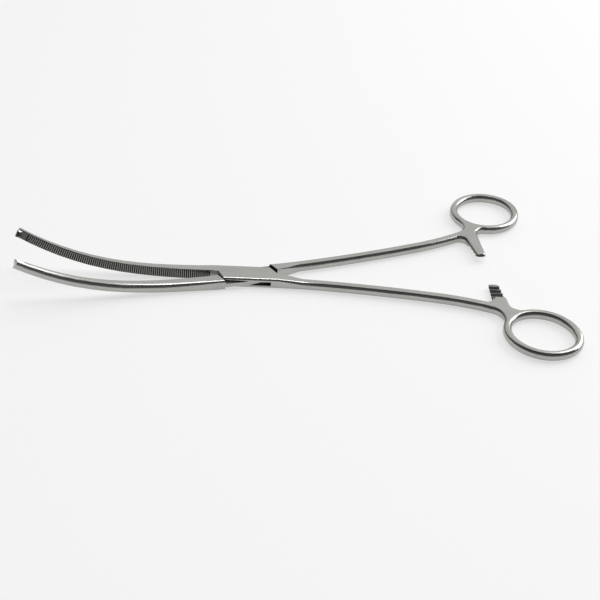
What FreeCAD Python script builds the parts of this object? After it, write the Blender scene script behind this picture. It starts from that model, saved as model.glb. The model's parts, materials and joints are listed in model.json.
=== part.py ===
import FreeCAD, Part
import math
import os
from FreeCAD import Vector

# Long curved artery forceps in forged stainless steel, sizes in millimetres.
# Two halves cross in a box lock: the box half has a slot between two cheeks, and the
# tongue of the through half passes through it and turns on a flush pin.
# X runs from the jaws (negative) to the finger rings (positive), Z is up and is the
# pin's axis. The origin is where that axis meets the lock's flat underside.
# Both halves are drawn closed and level about Z = 0, then turned open and lifted.

# Lock
LOCK_THICKNESS = 5.0
LOCK_HALF_WIDTH = 5.1
LOCK_REACH = 11.4
EDGE_RADIUS = 1.25
CHEEK_THICKNESS = 1.55
TONGUE_FACE_GAP = 0.04
TONGUE_END_GAP = 0.15
SHOULDER_GAP = 0.6
CHEEK_SET_BACK = 1.2
PIN_RADIUS = 1.9
PIN_RUNNING_GAP = 0.03
MEETING_GAP = 0.1
OPENING_ANGLE = 12.9

# Jaws
JAW_ROOT_X = 14.7
JAW_ARC_LENGTH = 87.0
JAW_BEND_RADIUS = 110.0
JAW_BEND_EASE = 50.0
JAW_EDGE_BREAK = 0.4
JAW_EDGE_BREAK_UP = 0.3
JAW_TIP_HEIGHT = 4.25
JAW_TIP_WIDTH = 2.8
JAW_CORNER_GROWTH = 1.6
JAW_CORNER_LIMIT = 0.97
JAW_STATIONS = 14

# Serrations and the teeth at the jaws' tips
SERRATION_PITCH = 0.9
SERRATION_LAND = 0.16
SERRATION_DEPTH = 0.34
SERRATION_ROOT_MARGIN = 1.0
TOOTH_ZONE = 4.4
TOOTH_LENGTH = 3.2
TOOTH_REACH = 2.2
TOOTH_BASE_HALF = 1.05
TOOTH_CREST_HALF = 0.2
TOOTH_CREST_LENGTH = 0.4
TOOTH_CLEARANCE = 0.2
PAIR_REACH = 0.8
PAIR_LENGTH = 2.4
PAIR_CREST_LENGTH = 0.8

# Shanks: two tangent arcs through these stops, from the lock's root to the ring's bar
SHANK_STOPS = ((24.0, 4.1), (82.0, 10.4))
SHANK_START_HEADING = 3.6
SHANK_WIDTH = 4.3
SHANK_THICKNESS = 4.2
RIM_ROUNDING_ACROSS = 1.6
RIM_ROUNDING_UP = 1.8
RIM_FLATS = 4
SHANK_SPLIT_X = 7.5
ROOT_START_X = 13.5
ROOT_INNER_BREAK = 0.05

# Finger rings: an egg-shaped loop, its long axis leaning outwards
RING_X = 125.0
RING_Y = 33.9
RING_LONG_RADIUS = 15.3
RING_SHORT_RADIUS = 14.2
RING_LEAN = 20.0
RING_INNER_TAPER = 0.6
RING_OUTER_TAPER = 1.9
RING_JOIN_ANGLE = 224.0
RING_BAR_WIDTH = 3.6

# Ratchet arms
RATCHET_X = 109.3
RATCHET_WIDTH = 4.6
RATCHET_ROOT_FLARE = 2.4
RATCHET_PITCH = 2.7
RATCHET_TEETH = 5
RATCHET_TOOTH_DEPTH = 0.8
RATCHET_OVERREACH = 2.7
RATCHET_FACE_GAP = 0.06
RATCHET_CORNER = 1.7

# Plan fillets where shank, ring and ratchet arm grow together
WEB_FILLET = 3.0
OUTER_WEB_FILLET = 6.5

# What follows from the sizes above
half_thickness = LOCK_THICKNESS / 2
half_gap = MEETING_GAP / 2
tongue_half = half_thickness - CHEEK_THICKNESS - TONGUE_FACE_GAP
slot_half = half_thickness - CHEEK_THICKNESS
shoulder_outer_x = math.sqrt(LOCK_REACH ** 2 - LOCK_HALF_WIDTH ** 2)
shoulder_inner_x = LOCK_REACH ** 2 / shoulder_outer_x
overrun = 1.0
outside = LOCK_HALF_WIDTH + overrun
UP = Vector(0, 0, 1)
ORIGIN = Vector(0, 0, 0)


def prism(outline, low, high):
    """A straight-walled block over a plan outline of (x, y) corners."""
    corners = [Vector(x, y, low) for x, y in outline]
    face = Part.Face(Part.makePolygon(corners + corners[:1]))
    return face.extrude(Vector(0, 0, high - low))


def shoulder_x(y, gap=0.0):
    """X of the slanted shoulder line at distance y from the closing line, moved out by a gap.

    The line touches the circle of the cheeks' corners there, so a shoulder swings clear of them.
    """
    slope = LOCK_HALF_WIDTH / (shoulder_inner_x - shoulder_outer_x)
    lean = math.sqrt(1 + slope ** 2) / slope
    return shoulder_inner_x + gap * lean - abs(y) / slope


# Jaws

def jaw_frame(arc):
    """Point, direction and upward normal of the jaw's curved middle line at an arc length."""
    step = 0.25
    count = max(1, int(round(abs(arc) / step)))
    x = -JAW_ROOT_X
    z = 0.0
    for index in range(count):
        angle = jaw_angle((index + 0.5) * arc / count)
        x -= math.cos(angle) * arc / count
        z += math.sin(angle) * arc / count
    angle = jaw_angle(arc)
    direction = Vector(-math.cos(angle), 0, math.sin(angle))
    normal = Vector(math.sin(angle), 0, math.cos(angle))
    return Vector(x, 0, z), direction, normal


def jaw_angle(arc):
    """Rise of the middle line: the bend eases in, then keeps one radius up to the tip."""
    if arc <= 0:
        return 0.0
    if arc < JAW_BEND_EASE:
        return arc ** 2 / (2 * JAW_BEND_EASE * JAW_BEND_RADIUS)
    return (arc - JAW_BEND_EASE / 2) / JAW_BEND_RADIUS


def jaw_section(point, normal, height, width, corner):
    """D-shaped section of one jaw: flat towards the other jaw, corners rounded outside."""
    across = Vector(0, 1, 0)

    def at(y, n):
        return point + across * y + normal * n

    half = height / 2
    soft = corner * (1 - math.sqrt(0.5))
    points = [
        at(half_gap, half - JAW_EDGE_BREAK_UP), at(half_gap + JAW_EDGE_BREAK, half),
        at(width - corner, half), at(width, half - corner),
        at(width, corner - half), at(width - corner, -half),
        at(half_gap + JAW_EDGE_BREAK, -half), at(half_gap, JAW_EDGE_BREAK_UP - half)]
    upper = Part.Arc(points[2], at(width - soft, half - soft), points[3]).toShape()
    lower = Part.Arc(points[4], at(width - soft, soft - half), points[5]).toShape()
    edges = [
        Part.makeLine(points[0], points[1]), Part.makeLine(points[1], points[2]), upper,
        Part.makeLine(points[3], points[4]), lower, Part.makeLine(points[5], points[6]),
        Part.makeLine(points[6], points[7]), Part.makeLine(points[7], points[0])]
    return Part.Wire(edges)


def jaw_blank():
    """The curved, tapering half-round bar of the jaw, on the +Y side of the closing line."""
    wires = []
    for index in range(JAW_STATIONS):
        share = index / (JAW_STATIONS - 1)
        point, direction, normal = jaw_frame(share * JAW_ARC_LENGTH)
        height = LOCK_THICKNESS + share * (JAW_TIP_HEIGHT - LOCK_THICKNESS)
        width = LOCK_HALF_WIDTH + share * (JAW_TIP_WIDTH - LOCK_HALF_WIDTH)
        corner = min(EDGE_RADIUS + math.sqrt(share) * JAW_CORNER_GROWTH, JAW_CORNER_LIMIT * height / 2)
        wires.append(jaw_section(point, normal, height, width, corner))
    return Part.makeLoft(wires, True, True)


def on_jaw(arc, corners):
    """Places (along, across, up) corners, measured back from the tip end, on the jaw."""
    point, direction, normal = jaw_frame(arc)
    return [point - direction * along + Vector(0, across, 0) + normal * up for along, across, up in corners]


def groove(arc):
    """One V-shaped cross groove, as the wedge that is cut away."""
    half = (SERRATION_PITCH - SERRATION_LAND) / 2
    reach = LOCK_THICKNESS
    mouth = half * (1 + 2 * overrun * half_gap / SERRATION_DEPTH)
    bottom = half_gap + SERRATION_DEPTH
    corners = on_jaw(arc, ((-mouth, -half_gap, -reach), (0, bottom, -reach), (mouth, -half_gap, -reach)))
    face = Part.Face(Part.makePolygon(corners + corners[:1]))
    return face.extrude(jaw_frame(arc)[2] * 2 * reach)


def serrations(offset):
    """All the cross grooves of one jaw, from behind its teeth to near the lock."""
    last = JAW_ARC_LENGTH - TOOTH_ZONE - SERRATION_PITCH * (0.5 + offset)
    count = int((last - SERRATION_ROOT_MARGIN) / SERRATION_PITCH)
    return Part.makeCompound([groove(last - index * SERRATION_PITCH) for index in range(count)])


def tapered_block(base_y, base, crest_y, crest):
    """A block between two rectangles (along low, along high, up low, up high) at the tip."""
    wires = []
    for y, (a, b, low, high) in ((base_y, base), (crest_y, crest)):
        corners = on_jaw(JAW_ARC_LENGTH, ((a, y, low), (b, y, low), (b, y, high), (a, y, high)))
        wires.append(Part.makePolygon(corners + corners[:1]))
    return Part.makeLoft(wires, True, True)


def tooth(clearance=0.0):
    """The single middle tooth, or with a clearance the valley that it drops into."""
    back = overrun if clearance else 0.0
    base = TOOTH_BASE_HALF + clearance
    crest = TOOTH_CREST_HALF + clearance
    return tapered_block(
        -PAIR_REACH - 2 * TOOTH_CLEARANCE, (-back, TOOTH_LENGTH + clearance, -base, base),
        TOOTH_REACH + clearance, (-back, TOOTH_CREST_LENGTH + clearance, -crest, crest))


def tooth_pair_block():
    """The raised end of the other jaw, which the valley divides into two teeth."""
    side = JAW_TIP_HEIGHT / 2 - JAW_EDGE_BREAK / 2
    crest = side - JAW_EDGE_BREAK
    return tapered_block(
        2 * JAW_EDGE_BREAK, (0, PAIR_LENGTH, -side, side),
        -PAIR_REACH, (0, PAIR_CREST_LENGTH, -crest, crest))


def tooth_relief():
    """What is ground off beside the middle tooth, so that the pair of teeth has room."""
    depth = PAIR_REACH + TOOTH_CLEARANCE
    floor_end = PAIR_LENGTH + TOOTH_CLEARANCE
    reach = LOCK_THICKNESS
    corners = on_jaw(JAW_ARC_LENGTH, (
        (-overrun, -depth, -reach), (-overrun, overrun, -reach),
        (TOOTH_ZONE, overrun, -reach), (TOOTH_ZONE, -half_gap, -reach), (floor_end, -depth, -reach)))
    face = Part.Face(Part.makePolygon(corners + corners[:1]))
    return face.extrude(jaw_frame(JAW_ARC_LENGTH)[2] * 2 * reach)


def box_jaw():
    """Jaw of the box half, on the +Y side, with two teeth and a valley between them."""
    jaw = jaw_blank().cut(serrations(0.0)).fuse(tooth_pair_block())
    return jaw.cut(tooth(TOOTH_CLEARANCE))


def through_jaw():
    """Jaw of the through half, on the -Y side, with one middle tooth."""
    jaw = jaw_blank().cut(serrations(0.5)).mirror(ORIGIN, Vector(0, 1, 0))
    return jaw.cut(tooth_relief()).fuse(tooth())


# Handles

def ring_arcs():
    """Centres and radii of the egg's arcs, in the ring's own axes: inner end, outer end, side."""
    inner_radius = RING_SHORT_RADIUS - RING_INNER_TAPER
    outer_radius = RING_SHORT_RADIUS - RING_OUTER_TAPER
    inner_x = inner_radius - RING_LONG_RADIUS
    outer_x = RING_LONG_RADIUS - outer_radius
    # The side arc touches both end circles from outside and is RING_SHORT_RADIUS high:
    # its centre's X solves this quadratic.
    square = 1 / RING_INNER_TAPER - 1 / RING_OUTER_TAPER
    linear = 2 * (outer_x / RING_OUTER_TAPER - inner_x / RING_INNER_TAPER)
    rest = inner_x ** 2 / RING_INNER_TAPER + inner_radius - outer_x ** 2 / RING_OUTER_TAPER - outer_radius
    side_x = (math.sqrt(linear ** 2 - 4 * square * rest) - linear) / (2 * square)
    side_radius = ((side_x - inner_x) ** 2 / RING_INNER_TAPER + inner_radius + RING_SHORT_RADIUS) / 2
    return (inner_x, inner_radius), (outer_x, outer_radius), (side_x, side_radius)


def on_ring(along, across):
    """A point of the handle's plan from the ring's own axes."""
    lean = math.radians(RING_LEAN)
    return Vector(RING_X + along * math.cos(lean) - across * math.sin(lean),
                  RING_Y + along * math.sin(lean) + across * math.cos(lean), 0)


def ring_face(offset):
    """Plan face inside the ring's middle line moved outwards by an offset: an egg of four arcs."""
    (inner_x, _), (outer_x, _), (side_x, side_radius) = ring_arcs()
    drop = side_radius - RING_SHORT_RADIUS
    reach = side_radius + offset

    def touch(end_x, side):
        run = math.hypot(end_x - side_x, drop)
        return on_ring(side_x + (end_x - side_x) / run * reach, side * (drop / run * reach - drop))

    ends = RING_LONG_RADIUS + offset
    upper_in, upper_out = touch(inner_x, 1), touch(outer_x, 1)
    lower_in, lower_out = touch(inner_x, -1), touch(outer_x, -1)
    arcs = [
        Part.Arc(lower_in, on_ring(-ends, 0), upper_in),
        Part.Arc(upper_in, on_ring(side_x, reach - drop), upper_out),
        Part.Arc(upper_out, on_ring(ends, 0), lower_out),
        Part.Arc(lower_out, on_ring(side_x, drop - reach), lower_in)]
    return Part.Face(Part.Wire([arc.toShape() for arc in arcs]))


def shank_arcs():
    """The arcs of the shank's middle line: centre, radius, and the headings at both ends."""
    (inner_x, inner_radius), _, _ = ring_arcs()
    join = math.radians(RING_JOIN_ANGLE)
    ring_join = on_ring(inner_x + inner_radius * math.cos(join), inner_radius * math.sin(join))
    stops = [Vector(x, y, 0) for x, y in SHANK_STOPS] + [ring_join]
    heading = math.radians(SHANK_START_HEADING)
    arcs = []
    for start, end in zip(stops, stops[1:]):
        chord = end - start
        swing = math.atan2(chord.y, chord.x) - heading
        radius = chord.Length / (2 * math.sin(swing))
        centre = start + Vector(-math.sin(heading), math.cos(heading), 0) * radius
        arcs.append((centre, radius, heading, heading + 2 * swing))
        heading += 2 * swing
    return arcs


def shank_face():
    """Plan face of the shank: both edges run parallel to its middle line."""
    half = SHANK_WIDTH / 2
    edges = []
    ends = []
    for side in (half, -half):
        for centre, radius, first, last in shank_arcs():
            run = [centre + Vector(math.sin(h), -math.cos(h), 0) * (radius - side)
                   for h in (first, (first + last) / 2, last)]
            edges.append(Part.Arc(*run).toShape())
            ends += [run[0], run[2]]
    edges += [Part.makeLine(ends[0], ends[4]), Part.makeLine(ends[3], ends[7])]
    return Part.Face(Part.Wire(Part.sortEdges(edges)[0]))


def ratchet_arm_outline():
    """Plan of the ratchet arm, from its tip past the closing line to inside the shank."""
    half = RATCHET_WIDTH / 2
    root_y = SHANK_STOPS[-1][1] + 1.5 * RATCHET_WIDTH
    return ((RATCHET_X - half, -RATCHET_OVERREACH), (RATCHET_X + half, -RATCHET_OVERREACH),
            (RATCHET_X + half + RATCHET_ROOT_FLARE, root_y), (RATCHET_X - half, root_y))


def is_upright(edge):
    """True for an edge that runs straight up."""
    first, last = edge.Vertexes[0].Point, edge.Vertexes[-1].Point
    return math.hypot(first.x - last.x, first.y - last.y) < 1e-6 and abs(first.z - last.z) > 1


def hollow_edges(body):
    """The upright edges where the material fills clearly more than half of the space round them."""
    found = []
    for edge in body.Edges:
        foot = edge.Vertexes[0].Point
        probe = 0.2
        probes = 16
        inside = 0
        for index in range(probes if is_upright(edge) else 0):
            turn = 2 * math.pi * index / probes
            beside = Vector(probe * math.cos(turn), probe * math.sin(turn), 0)
            point = Vector(foot.x, foot.y, LOCK_THICKNESS / 2) + beside
            inside += body.isInside(point, 1e-6, True)
        if inside > 0.6 * probes:
            found.append(edge)
    return found


def handle_block():
    """Shank, ring and ratchet arm grown together, with upright walls from Z = 0 up."""
    rise = Vector(0, 0, LOCK_THICKNESS)
    ring = ring_face(RING_BAR_WIDTH / 2).extrude(rise)
    arm = prism(ratchet_arm_outline(), 0, LOCK_THICKNESS)
    body = shank_face().extrude(rise).fuse([ring, arm]).removeSplitter()
    hollow = hollow_edges(body)
    body = body.makeFillet(OUTER_WEB_FILLET, [max(hollow, key=lambda e: e.Vertexes[0].Point.y)])
    body = body.makeFillet(WEB_FILLET, hollow_edges(body))
    uprights = [e for e in body.Edges if is_upright(e)]
    tips = [e for e in uprights if abs(e.Vertexes[0].Point.y + RATCHET_OVERREACH) < 1e-3]
    body = body.makeFillet(RATCHET_CORNER, tips)
    return body.cut(ring_face(-RING_BAR_WIDTH / 2).extrude(rise))


def rounded_corner(start, corner, end):
    """A rounded corner from start to end in narrow flats, which touch an ellipse at their ends."""
    centre = start + end - corner
    turns = [math.pi / 2 * index / RIM_FLATS for index in range(RIM_FLATS + 1)]
    points = [centre + (start - centre) * math.cos(t) + (end - centre) * math.sin(t) for t in turns]
    return [Part.makeLine(point, following) for point, following in zip(points, points[1:])]


def rim_profile(foot, outwards):
    """Upright outline of a bar's wall with its rounded upper and lower rims, at a plan point."""
    wall = UP * (SHANK_THICKNESS / 2 - RIM_ROUNDING_UP)
    edges = [Part.makeLine(foot + wall, foot - wall)]
    for level in (1, -1):
        top = UP * level * SHANK_THICKNESS / 2
        on_flat = foot + top - outwards * RIM_ROUNDING_ACROSS
        edges += rounded_corner(on_flat, foot + top, foot + wall * level)
    return Part.Wire(Part.sortEdges(edges)[0])


def flat_end(start, end, along):
    """Upright face that closes the shank towards the lock, and its upper and lower edge."""
    lines = []
    inset = along * RIM_ROUNDING_ACROSS
    for level in (1, -1):
        top = UP * level * SHANK_THICKNESS / 2
        lines.append(Part.makeLine(start + inset + top, end - inset + top))
    outline = rim_profile(start, along * -1).Edges + rim_profile(end, along).Edges + lines
    return Part.Face(Part.Wire(Part.sortEdges(outline)[0])), lines


def handle():
    """Shank, finger ring and ratchet arm in one, on the +Y side, teeth facing down.

    Each edge of the plan carries the rim profile along, straight or round its centre, and
    flat faces above and below close the body.
    """
    block = handle_block()
    plan = [f for f in block.Faces if f.BoundBox.ZMax < 1e-3][0]
    near_lock = Vector(SHANK_STOPS[0][0], SHANK_STOPS[0][1], 0)
    faces = []
    upper, lower = [], []
    for edge in plan.Edges:
        first, last = edge.FirstParameter, edge.LastParameter
        start, middle, end = [edge.valueAt(p) for p in (first, (first + last) / 2, last)]
        if (middle - near_lock).Length < 1e-3:
            face, lines = flat_end(start, end, edge.tangentAt(first))
            faces.append(face)
            upper.append(lines[0])
            lower.append(lines[1])
            continue
        if not isinstance(edge.Curve, Part.Line):
            edge = Part.Arc(start, middle, end).toShape()
            first, last = edge.FirstParameter, edge.LastParameter
            middle = edge.valueAt((first + last) / 2)
        right = edge.tangentAt((first + last) / 2).cross(UP)
        inwards = block.isInside(middle + right * 0.1 + UP, 1e-6, True)
        outwards = edge.tangentAt(first).cross(UP) * (-1 if inwards else 1)
        start = edge.valueAt(first)

        def sweep(shape):
            if isinstance(edge.Curve, Part.Circle):
                return shape.revolve(edge.Curve.Center, edge.Curve.Axis, math.degrees(last - first))
            return shape.extrude(edge.valueAt(last) - start)

        rim = start - outwards * RIM_ROUNDING_ACROSS
        faces += sweep(rim_profile(start, outwards)).Faces
        upper += sweep(Part.Vertex(rim + UP * SHANK_THICKNESS / 2)).Edges
        lower += sweep(Part.Vertex(rim - UP * SHANK_THICKNESS / 2)).Edges
    for rims in (upper, lower):
        wires = [Part.Wire(loop) for loop in Part.sortEdges(rims)]
        faces.append(Part.makeFace(wires, "Part::FaceMakerBullseye"))
    shell = Part.makeShell(faces)
    shell.sewShape()
    return ratchet(Part.makeSolid(shell))


def ratchet(body):
    """Takes the lower half off the ratchet arm and cuts its saw teeth, steep towards the shank."""
    reach = RATCHET_WIDTH
    tip = -RATCHET_OVERREACH
    root = tip + RATCHET_TEETH * RATCHET_PITCH
    low, high = RATCHET_X - reach, RATCHET_X + reach
    face_z = RATCHET_FACE_GAP
    profile = [(tip - overrun, -LOCK_THICKNESS), (tip - overrun, face_z), (tip, face_z)]
    for index in range(RATCHET_TEETH):
        crest = tip + index * RATCHET_PITCH
        profile += [(crest, face_z + RATCHET_TOOTH_DEPTH), (crest + RATCHET_PITCH, face_z)]
    profile += [(root, -LOCK_THICKNESS)]
    corners = [Vector(low, y, z) for y, z in profile]
    face = Part.Face(Part.makePolygon(corners + corners[:1]))
    return body.cut(face.extrude(Vector(high - low, 0, 0)))


# Lock

def lock_bar():
    """The lock's full width and thickness, long edges rounded, before a half is cut from it."""
    size = Vector(2 * JAW_ROOT_X, 2 * LOCK_HALF_WIDTH, LOCK_THICKNESS)
    block = Part.makeBox(size.x, size.y, size.z, size * -0.5)
    return block.makeFillet(EDGE_RADIUS, [e for e in block.Edges if e.BoundBox.XLength > JAW_ROOT_X])


def through_slot():
    """The slot between the cheeks, open on both sides and ending at the roots of jaw and shank."""
    return prism((
        (-JAW_ROOT_X, -outside), (-JAW_ROOT_X, 0), (-shoulder_inner_x, 0), (-shoulder_x(outside), outside),
        (JAW_ROOT_X, outside), (JAW_ROOT_X, 0), (shoulder_inner_x, 0), (shoulder_x(outside), -outside)),
        -slot_half, slot_half)


def box_lock():
    """Lock part of the box half, still solid: its jaw's root and both cheeks.

    The cheeks' corner beside the other half's shank is set back, which leaves a dark gap.
    """
    corner_x = shoulder_x(outside) - CHEEK_SET_BACK * outside / LOCK_HALF_WIDTH
    return lock_bar().common(prism((
        (-JAW_ROOT_X, outside), (-JAW_ROOT_X, half_gap), (-shoulder_x(half_gap), half_gap),
        (-shoulder_inner_x, 0), (-shoulder_x(outside), -outside), (SHANK_SPLIT_X, -outside),
        (SHANK_SPLIT_X, -half_gap), (shoulder_inner_x, -half_gap), (shoulder_inner_x, 0),
        (corner_x, outside)), -LOCK_THICKNESS, LOCK_THICKNESS))


def tongue():
    """The thin middle of the through half, as wide as the lock, which fills the closed slot."""
    return lock_bar().common(prism((
        (-shoulder_inner_x, -half_gap), (-shoulder_inner_x, -outside),
        (shoulder_x(outside, -TONGUE_END_GAP), -outside), (shoulder_x(0, -TONGUE_END_GAP), 0),
        (shoulder_inner_x, half_gap), (shoulder_inner_x, outside),
        (-shoulder_x(outside, -TONGUE_END_GAP), outside), (-shoulder_x(0, -TONGUE_END_GAP), 0)),
        -tongue_half, tongue_half))


def jaw_root():
    """Full-thickness root of the through half's jaw, up to its shoulder."""
    return lock_bar().common(prism((
        (-JAW_ROOT_X, -outside), (-JAW_ROOT_X, -half_gap),
        (-shoulder_x(half_gap, SHOULDER_GAP), -half_gap), (-shoulder_x(outside, SHOULDER_GAP), -outside)),
        -LOCK_THICKNESS, LOCK_THICKNESS))


def shank_shoulder_cut():
    """What lies inside the shoulder line of the through half's shank."""
    return prism((
        (0, 0), (shoulder_x(0, SHOULDER_GAP), 0),
        (shoulder_x(outside, SHOULDER_GAP), outside), (0, outside)), -LOCK_THICKNESS, LOCK_THICKNESS)


def root_section(centre, across, width, height, outer_rounding, inner_rounding):
    """Upright section of the shank's root; a rounding is its (across, up) size."""
    edges = []
    ends = []
    corners = ((1, 1, outer_rounding), (-1, 1, inner_rounding),
               (-1, -1, inner_rounding), (1, -1, outer_rounding))
    for side, level, rounding in corners:
        corner = centre + across * side * width / 2 + UP * level * height / 2
        on_wall = corner - UP * level * rounding[1]
        on_flat = corner - across * side * rounding[0]
        run = (on_wall, on_flat) if side == level else (on_flat, on_wall)
        edges += rounded_corner(run[0], corner, run[1])
        ends.append(run)
    for (_, end), (start, _) in zip(ends, ends[1:] + ends[:1]):
        edges.append(Part.makeLine(end, start))
    return Part.Wire(Part.sortEdges(edges)[0])


def shank_root():
    """The lock's full thickness at the shoulder, narrowing to the shank's own section."""
    thick = lock_bar().common(prism((
        (SHANK_SPLIT_X, half_gap), (ROOT_START_X, half_gap),
        (ROOT_START_X, outside), (SHANK_SPLIT_X, outside)), -LOCK_THICKNESS, LOCK_THICKNESS))
    width = LOCK_HALF_WIDTH - half_gap
    wide = root_section(Vector(ROOT_START_X, half_gap + width / 2, 0), Vector(0, 1, 0),
                        width, LOCK_THICKNESS,
                        (EDGE_RADIUS, EDGE_RADIUS), (ROOT_INNER_BREAK, ROOT_INNER_BREAK))
    heading = math.radians(SHANK_START_HEADING)
    rim = (RIM_ROUNDING_ACROSS, RIM_ROUNDING_UP)
    slim = root_section(Vector(*SHANK_STOPS[0], 0), Vector(-math.sin(heading), math.cos(heading), 0),
                        SHANK_WIDTH, SHANK_THICKNESS, rim, rim)
    return thick.fuse(Part.makeLoft([wide, slim], True, True))


def upright_cylinder(radius):
    """A round bar along the pivot's axis, through the whole lock."""
    return Part.makeCylinder(radius, LOCK_THICKNESS, Vector(0, 0, -half_thickness))


# The three pieces, closed and level

def box_half():
    """Far jaw with two teeth, both cheeks and the near shank with its ring and lower ratchet arm."""
    shank = handle().fuse(shank_root())
    shank.rotate(ORIGIN, Vector(1, 0, 0), 180)
    body = box_lock().fuse([box_jaw(), shank]).removeSplitter()
    return body.cut([through_slot(), upright_cylinder(PIN_RADIUS)])


def through_half():
    """Near jaw with one tooth, the tongue and the far shank with its ring and upper ratchet arm."""
    shank = handle().fuse(shank_root()).cut(shank_shoulder_cut())
    body = jaw_root().fuse([through_jaw(), tongue(), shank]).removeSplitter()
    return body.cut(upright_cylinder(PIN_RADIUS + PIN_RUNNING_GAP))


def pivot_pin():
    """Rivet through both cheeks, ground flush with the lock on both faces."""
    return upright_cylinder(PIN_RADIUS)


def place(shape, angle):
    """Turns a half open about the pivot and lifts the lock onto the ground."""
    shape.rotate(ORIGIN, UP, angle)
    shape.translate(Vector(0, 0, half_thickness))
    return shape


os.makedirs("parts", exist_ok=True)
pieces = {
    "box_half": place(box_half(), -OPENING_ANGLE / 2),
    "through_half": place(through_half(), OPENING_ANGLE / 2),
    "pivot_pin": place(pivot_pin(), -OPENING_ANGLE / 2),
}
for name, shape in pieces.items():
    shape.exportStep(os.path.join("parts", name + ".step"))
    box = shape.BoundBox
    print(name, "valid", shape.isValid(), "solids", len(shape.Solids), "volume", round(shape.Volume, 1),
          "x", round(box.XMin, 2), round(box.XMax, 2), "y", round(box.YMin, 2), round(box.YMax, 2),
          "z", round(box.ZMin, 2), round(box.ZMax, 2))
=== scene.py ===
import json
import math
import bpy
import numpy as np
from mathutils import Matrix, Vector


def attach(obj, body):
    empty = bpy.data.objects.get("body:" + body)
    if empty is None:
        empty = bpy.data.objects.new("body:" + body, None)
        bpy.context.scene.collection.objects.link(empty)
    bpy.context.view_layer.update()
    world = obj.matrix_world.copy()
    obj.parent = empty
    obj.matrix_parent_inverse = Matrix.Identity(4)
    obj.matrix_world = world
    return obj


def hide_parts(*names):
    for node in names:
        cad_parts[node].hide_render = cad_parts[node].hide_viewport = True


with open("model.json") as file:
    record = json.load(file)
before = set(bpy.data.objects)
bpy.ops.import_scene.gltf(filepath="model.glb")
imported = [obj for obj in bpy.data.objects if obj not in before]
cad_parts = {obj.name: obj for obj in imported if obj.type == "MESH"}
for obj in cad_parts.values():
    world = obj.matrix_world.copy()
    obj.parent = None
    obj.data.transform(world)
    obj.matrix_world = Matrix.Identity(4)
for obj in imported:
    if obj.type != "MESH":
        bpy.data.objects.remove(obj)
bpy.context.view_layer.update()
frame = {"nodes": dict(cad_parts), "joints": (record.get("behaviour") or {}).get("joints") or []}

# Camera, floor and light
# The instrument rests on its lock on a pale table, in a room that is dark on the camera's side
# and bright behind and above. One softbox hangs overhead and a larger one stands on the right.

# The camera looks down at 36 degrees over the box half's ring, with the jaws on the left.
view_point = Vector((-0.059661, -0.430036, 0.307691))
view_forward = Vector((0.15481, 0.79371, -0.58827)).normalized()
view_up = Vector((0.02800, 0.59168, 0.80568)).normalized()
view_right = view_forward.cross(view_up).normalized()
view_up = view_right.cross(view_forward)
turn = Matrix((view_right, view_up, -view_forward)).transposed().to_4x4()
camera_data = bpy.data.cameras.new("camera")
camera_data.sensor_width = 36.0
camera_data.lens = 72.658
camera_data.clip_start = 0.01
camera = bpy.data.objects.new("camera", camera_data)
camera.matrix_world = Matrix.Translation(view_point) @ turn
bpy.context.scene.collection.objects.link(camera)
bpy.context.scene.camera = camera
bpy.context.scene.view_settings.view_transform = "Standard"


def empty_tree(owner):
    """Clears a material's or world's nodes, and gives the functions that add and join new ones."""
    owner.use_nodes = True
    tree = owner.node_tree
    tree.nodes.clear()

    def add(kind, **settings):
        node = tree.nodes.new(kind)
        for name, value in settings.items():
            setattr(node, name, value)
        return node

    return add, tree.links.new


# The table is so wide that no view sees past its edge, and its top is a hair below the lock, so
# that the two never share a plane.
table_reach = 40.0
table_height = -0.00005
table_grey = 0.95
table_corners = [(across * table_reach, away * table_reach, table_height)
                 for across, away in ((-1, -1), (1, -1), (1, 1), (-1, 1))]
table_mesh = bpy.data.meshes.new("table_top")
table_mesh.from_pydata(table_corners, [], [(0, 1, 2, 3)])
table_top = bpy.data.objects.new("table_top", table_mesh)
bpy.context.scene.collection.objects.link(table_top)

# The camera and the mirroring steel see three fifths plain white and two fifths paint, which
# keeps a faint shadow. All other light meets the paint alone, and the white is no lamp.
white_share = 0.6
table_paint = bpy.data.materials.new("white_table")
add, join = empty_tree(table_paint)
paint = add("ShaderNodeBsdfPrincipled")
paint.inputs["Base Color"].default_value = (table_grey, table_grey, table_grey, 1)
paint.inputs["Roughness"].default_value = 0.9
paint.inputs["Specular IOR Level"].default_value = 0.1
glow = add("ShaderNodeEmission")
ray = add("ShaderNodeLightPath")
mirrored = add("ShaderNodeMath", operation="MAXIMUM")
through_glass = add("ShaderNodeMath", operation="MAXIMUM")
share = add("ShaderNodeMath", operation="MULTIPLY")
share.inputs[1].default_value = white_share
seen = add("ShaderNodeMixShader")
join(ray.outputs["Is Camera Ray"], mirrored.inputs[0])
join(ray.outputs["Is Glossy Ray"], mirrored.inputs[1])
join(mirrored.outputs[0], through_glass.inputs[0])
join(ray.outputs["Is Transmission Ray"], through_glass.inputs[1])
join(through_glass.outputs[0], share.inputs[0])
join(share.outputs[0], seen.inputs["Fac"])
join(paint.outputs[0], seen.inputs[1])
join(glow.outputs[0], seen.inputs[2])
join(seen.outputs[0], add("ShaderNodeOutputMaterial").inputs["Surface"])
table_paint.cycles.emission_sampling = "NONE"
table_mesh.materials.append(table_paint)

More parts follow.
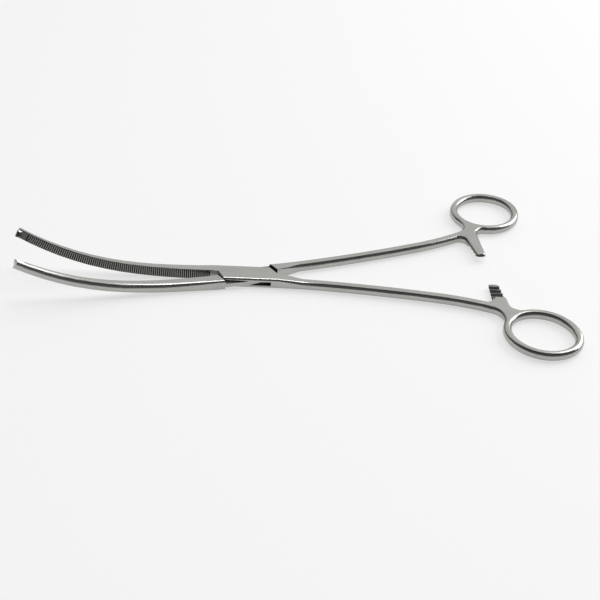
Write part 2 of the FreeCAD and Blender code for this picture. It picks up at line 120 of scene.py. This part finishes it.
# The room's grey follows one number per direction, its height plus 0.8 times its lean away from
# the camera's side. Each stop is that number and its grey.
sky_lean = (0.0, 0.8, 1.0)
sky_stops = ((0.0, 0.12), (0.35, 0.04), (0.70, 0.04), (0.89, 0.55), (1.0, 0.88))
room = bpy.data.worlds.new("room")
bpy.context.scene.world = room
add, join = empty_tree(room)
sky_direction = add("ShaderNodeTexCoord")
sky_height = add("ShaderNodeVectorMath", operation="DOT_PRODUCT")
sky_height.inputs[1].default_value = sky_lean
sky_shade = add("ShaderNodeValToRGB")
while len(sky_shade.color_ramp.elements) < len(sky_stops):
    sky_shade.color_ramp.elements.new(0.5)
for stop, (height, shade) in zip(sky_shade.color_ramp.elements, sky_stops):
    stop.position = height
    stop.color = (shade, shade, shade, 1)
sky = add("ShaderNodeBackground")
join(sky_direction.outputs["Generated"], sky_height.inputs[0])
join(sky_height.outputs["Value"], sky_shade.inputs[0])
join(sky_shade.outputs["Color"], sky.inputs["Color"])
join(sky.outputs[0], add("ShaderNodeOutputWorld").inputs["Surface"])


def soft_light(name, place, size, power):
    """A square area lamp at a place, turned towards the pivot."""
    data = bpy.data.lights.new(name, "AREA")
    data.shape = "SQUARE"
    data.size = size
    data.energy = power
    lamp = bpy.data.objects.new(name, data)
    lamp.location = place
    lamp.rotation_euler = (-Vector(place)).to_track_quat("-Z", "Y").to_euler()
    bpy.context.scene.collection.objects.link(lamp)


soft_light("overhead_softbox", place=(0.1, 0.0, 1.15), size=0.3, power=2.0)
soft_light("right_softbox", place=(1.0, 0.35, 0.65), size=1.0, power=10.0)

# Box half
# One forging in stainless steel: the far jaw with its pair of teeth, the lock's cheeks, and the
# near shank with its ring and lower ratchet arm. The slot is broached, the serrations are cut
# in, and the outside is brushed to a satin.

# The hinge is closed at its lower limit, and at rest each half leans out by half of that angle.
hinge = frame["joints"][0]
half_opening = math.radians(-hinge["range_deg"][0]) / 2
slot_middle = hinge["pos_m"][2]
satin_tone = ((0.33, 0.326, 0.31), (0.52, 0.515, 0.495))
satin_gloss = (0.20, 0.27)
# Painted shade: a near-black steel that darkens the serration flanks, the pocket behind the tip
# teeth, and the lock's ends and slot walls, where shade falls.
painted_shade_tone = ((0.06, 0.06, 0.055), (0.14, 0.14, 0.13))
painted_shade_gloss = (0.30, 0.45)


def brushed_steel(name, pattern_turn, tone, gloss_range):
    """Steel with fine lengthwise scratches, which tint its colour, roughness and surface.

    Tone is the darkest and the lightest colour, gloss_range the roughness in the scratches'
    valleys and on their ridges. A scratch is some 17 mm long and 0.7 mm wide, and broad soft
    patches from handling, some 11 mm across, have an equal share in colour and roughness. The
    pattern is stretched lengthwise first and turned second, which keeps the scratches lengthwise
    and only makes those of the two halves differ.
    """
    scratches_per_metre = (60, 1500, 1500)
    patches_per_metre = 90.0
    material = bpy.data.materials.new(name)
    add, join = empty_tree(material)
    place = add("ShaderNodeTexCoord")
    along = add("ShaderNodeMapping")
    along.inputs["Rotation"].default_value = (0, 0, pattern_turn)
    along.inputs["Scale"].default_value = scratches_per_metre
    scratches = add("ShaderNodeTexNoise")
    scratches.inputs["Scale"].default_value = 1.0
    scratches.inputs["Detail"].default_value = 4.0
    handling = add("ShaderNodeTexNoise")
    handling.inputs["Scale"].default_value = patches_per_metre
    handling.inputs["Detail"].default_value = 3.0
    both = add("ShaderNodeMix", data_type="FLOAT")
    both.inputs["Factor"].default_value = 0.5
    tint = add("ShaderNodeMix", data_type="RGBA")
    tint.inputs["A"].default_value = (*tone[0], 1)
    tint.inputs["B"].default_value = (*tone[1], 1)
    gloss = add("ShaderNodeMapRange")
    gloss.inputs["From Min"].default_value = 0.3
    gloss.inputs["From Max"].default_value = 0.7
    gloss.inputs["To Min"].default_value = gloss_range[0]
    gloss.inputs["To Max"].default_value = gloss_range[1]
    relief = add("ShaderNodeBump")
    relief.inputs["Strength"].default_value = 0.03
    relief.inputs["Distance"].default_value = 0.00002
    steel = add("ShaderNodeBsdfPrincipled")
    steel.inputs["Metallic"].default_value = 1.0
    join(place.outputs["Object"], along.inputs["Vector"])
    join(along.outputs[0], scratches.inputs["Vector"])
    join(place.outputs["Object"], handling.inputs["Vector"])
    join(scratches.outputs["Fac"], both.inputs["A"])
    join(handling.outputs["Fac"], both.inputs["B"])
    join(both.outputs["Result"], tint.inputs["Factor"])
    join(both.outputs["Result"], gloss.inputs["Value"])
    join(scratches.outputs["Fac"], relief.inputs["Height"])
    join(tint.outputs["Result"], steel.inputs["Base Color"])
    join(gloss.outputs[0], steel.inputs["Roughness"])
    join(relief.outputs[0], steel.inputs["Normal"])
    join(steel.outputs[0], add("ShaderNodeOutputMaterial").inputs["Surface"])
    return material


def smooth_form(name, node, steel, body):
    """The solid's own surface with its curves shaded smooth, in place of the node.

    Points that round to the same tenth of a micrometre become one, and a triangle that this
    closes up is dropped. Edges over 24 degrees stay sharp, and the larger faces lead the shading.
    """
    steps_per_metre = 1e7
    sharp_over = math.radians(24)
    source = frame["nodes"][node].data
    points = np.empty(len(source.vertices) * 3)
    source.vertices.foreach_get("co", points)
    points = points.reshape(-1, 3)
    corners = np.empty(len(source.loops), dtype=np.int64)
    source.loops.foreach_get("vertex_index", corners)
    grid = np.round(points * steps_per_metre).astype(np.int64)
    _, first, again = np.unique(grid, axis=0, return_index=True, return_inverse=True)
    points = points[first]
    faces = again.reshape(-1)[corners].reshape(-1, 3)
    faces = faces[(faces != np.roll(faces, 1, axis=1)).all(axis=1)]
    mesh = bpy.data.meshes.new(name)
    mesh.from_pydata(points, [], faces)
    mesh.materials.append(steel)
    mesh.shade_smooth()
    mesh.set_sharp_from_angle(angle=sharp_over)
    piece = bpy.data.objects.new(name, mesh)
    bpy.context.scene.collection.objects.link(piece)
    flats_first = piece.modifiers.new("flats_first", "WEIGHTED_NORMAL")
    flats_first.keep_sharp = True
    flats_first.weight = 80
    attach(piece, body)
    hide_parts(node)
    return piece, points, faces


def painted_shade_faces(middle, facing, grip_normal):
    """Which faces take painted shade, from their middles and directions.

    On the jaw they are the serrations' flanks, which lie close behind the closing plane and slant
    to it, and the pocket behind the tip teeth, which looks along the plane's normal. In the lock
    they are the upright ends and the two flat walls of the slot. A face's slant is the cosine of
    the angle between its direction and the normal, and each reach is how far such faces lie from
    the plane, the pivot or the slot's middle at most.
    """
    along_jaw = middle[:, 0]
    behind_grip = -middle @ grip_normal
    slant = facing @ grip_normal
    steepest_flank = 0.62
    nearly_level = 0.9
    serrations_start = -0.0146
    flank_reach = 0.00045
    flanks = (along_jaw < serrations_start) & (behind_grip < flank_reach)
    flanks &= (slant > steepest_flank) & (slant < nearly_level)
    pocket_start = -0.0935
    pocket_reach = 0.002
    pocket = (along_jaw < pocket_start) & (behind_grip < pocket_reach) & (slant > nearly_level)
    lock_reach = 0.0135
    slot_reach = 0.001
    nearly_endwise = 0.8
    lock = np.abs(along_jaw) < lock_reach
    ends = lock & (np.abs(facing[:, 0]) > nearly_endwise)
    slot = lock & (np.abs(middle[:, 2] - slot_middle) < slot_reach)
    slot &= np.abs(facing[:, 2]) > nearly_level
    return flanks | pocket | ends | slot


def paint_shade_into_recesses(form, steel, grip_normal):
    """Gives the faces of a finished half that take painted shade a near-black steel of their own.

    The half's serrated side looks along grip_normal. A face's direction is the cross product of
    two of its edges, divided by that product's length.
    """
    piece, points, faces = form
    a, b, c = (points[faces[:, corner]] for corner in range(3))
    least_length = 1e-12
    facing = np.cross(b - a, c - a)
    facing /= np.maximum(np.linalg.norm(facing, axis=1, keepdims=True), least_length)
    painted_shade = painted_shade_faces((a + b + c) / 3, facing, np.array(grip_normal))
    piece.data.materials.append(steel)
    piece.data.polygons.foreach_set("material_index", painted_shade.astype(np.int32))


box_steel = brushed_steel("box_half_steel", half_opening, satin_tone, satin_gloss)
# The second steel is painted shade for the serrations, the tip pocket and the lock's ends and
# slot.
box_painted_shade = brushed_steel("box_half_painted_shade", half_opening, painted_shade_tone, painted_shade_gloss)
box_form = smooth_form("box_half_form", "box_half", box_steel, "box_body")
paint_shade_into_recesses(box_form, box_painted_shade, (-math.sin(half_opening), -math.cos(half_opening), 0))

# Through half
# The other forging, of the same steel: the near jaw with one tooth, the thin tongue and the far
# shank with its ring and upper ratchet arm. Its tongue is passed through the heated box before
# riveting, and it is brushed in the same way.

through_steel = brushed_steel("through_half_steel", -half_opening, satin_tone, satin_gloss)
# The second steel is painted shade for the serrations, the tip pocket and the lock's ends and
# slot.
through_painted_shade = brushed_steel("through_half_painted_shade", -half_opening, painted_shade_tone, painted_shade_gloss)
through_form = smooth_form(
    "through_half_form", "through_half", through_steel, "through_body")
paint_shade_into_recesses(through_form, through_painted_shade, (-math.sin(half_opening), math.cos(half_opening), 0))

# Pivot pin
# A plain steel rivet through both cheeks and the tongue. It is peened into the cheeks and
# ground flush, so only a hairline circle is left on the lock.

pin_steel = brushed_steel("pivot_pin_steel", half_opening, satin_tone, satin_gloss)
smooth_form("pivot_pin_form", "pivot_pin", pin_steel, "box_body")
